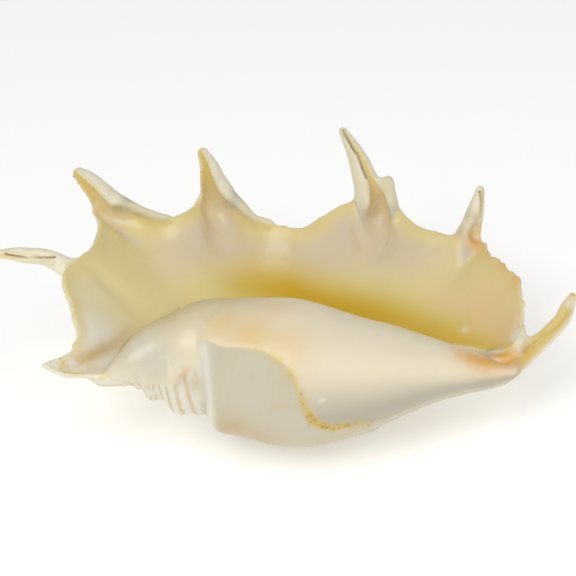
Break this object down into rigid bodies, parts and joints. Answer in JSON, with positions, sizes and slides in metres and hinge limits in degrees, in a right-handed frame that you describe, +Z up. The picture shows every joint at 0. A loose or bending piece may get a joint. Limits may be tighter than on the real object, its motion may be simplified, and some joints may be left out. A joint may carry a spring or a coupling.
{
  "type": "spider conch shell",
  "caption": "Large spider conch shell lying on its back, with a flared lip that ends in long curved fingers, a glazed opening and a hooked siphonal canal.",
  "frame": {"origin": "middle of the bounding box, on the surface that the shell lies on", "axes": "+X along the winding axis from the spire to the siphonal canal, +Y from the body whorl out to the flared lip, +Z up, out of the opening"},
  "size_m": [0.2992, 0.1806, 0.1031],
  "materials": {
    "shell": "polished cream shell, satin where it is not glazed"
  },
  "bodies": {
    "root": {"shell": "shell"}
  },
  "joints": []
}
